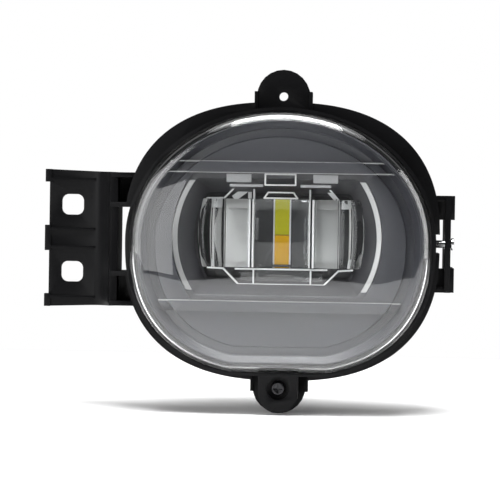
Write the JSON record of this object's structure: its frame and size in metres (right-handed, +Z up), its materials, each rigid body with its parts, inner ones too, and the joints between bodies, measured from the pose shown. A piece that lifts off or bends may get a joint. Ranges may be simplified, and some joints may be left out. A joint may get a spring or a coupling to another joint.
{
  "type": "fog light",
  "caption": "LED fog light: clear domed lens and black housing that tilts in an up-down symmetric bracket ring with two mounting ears.",
  "frame": {"origin": "rear mounting face of the left ear, midway between its two square holes", "axes": "+X to the right as seen from the front, along the length of the part; +Y rearwards, out of the ear's mounting face, so the lamp shines towards -Y; +Z up"},
  "size_m": [0.2188, 0.1095, 0.181],
  "materials": {
    "black_plastic": "satin moulded",
    "bezel_grey": "satin moulded",
    "clear_cover": "clear polished",
    "clear_optic": "clear polished",
    "silver_coat": "metallised",
    "steel": "zinc plated",
    "dark_steel": "black oxide",
    "brass": "tin flashed",
    "nylon": "natural",
    "rubber": "matt",
    "board": "solder mask",
    "led_white": "phosphor",
    "led_amber": "phosphor",
    "pad": "matt",
    "cast_alloy": "black anodised"
  },
  "bodies": {
    "bracket_body": {"bracket": "black_plastic", "pivot_pin_left": "steel", "pivot_pin_right": "steel"},
    "lamp": {"housing": "black_plastic", "optic_holder": "black_plastic", "connector_socket": "black_plastic", "pivot_bush_left": "nylon", "pivot_bush_right": "nylon", "outer_lens": "clear_cover", "optic": "clear_optic", "lens_seal": "rubber", "breather_vent": "rubber", "heat_sink_seal": "rubber", "inner_bezel": "bezel_grey", "reflector_left": "silver_coat", "reflector_right": "silver_coat", "led_board": "board", "driver_board": "board", "led_white": "led_white", "led_amber": "led_amber", "thermal_pad": "pad", "heat_sink": "cast_alloy", "holder_screw_1": "steel", "heat_sink_screw_1": "steel", "holder_screw_2": "steel", "heat_sink_screw_2": "steel", "holder_screw_3": "steel", "heat_sink_screw_3": "steel", "holder_screw_4": "steel", "heat_sink_screw_4": "steel", "board_screw_1": "steel", "driver_screw_1": "steel", "contact_pin_1": "brass", "board_screw_2": "steel", "driver_screw_2": "steel", "contact_pin_2": "brass"},
    "adjuster": {"adjuster_screw": "dark_steel", "adjuster_retainer": "steel"}
  },
  "joints": [
    {"name": "lamp_tilt", "type": "hinge", "parent": "bracket_body", "child": "lamp", "pos_m": [0.113, -0.0175, 0], "axis": [1, 0, 0], "range_deg": [-4, 4]},
    {"name": "adjuster_turn", "type": "hinge", "parent": "lamp", "child": "adjuster", "pos_m": [0.113, -0.0315, -0.0765], "axis": [0, 1, 0], "range_deg": [-1290, 1290]}
  ],
  "couplings": [
    {"joint": "adjuster_turn", "follows": "lamp_tilt", "ratio": 320.4}
  ]
}
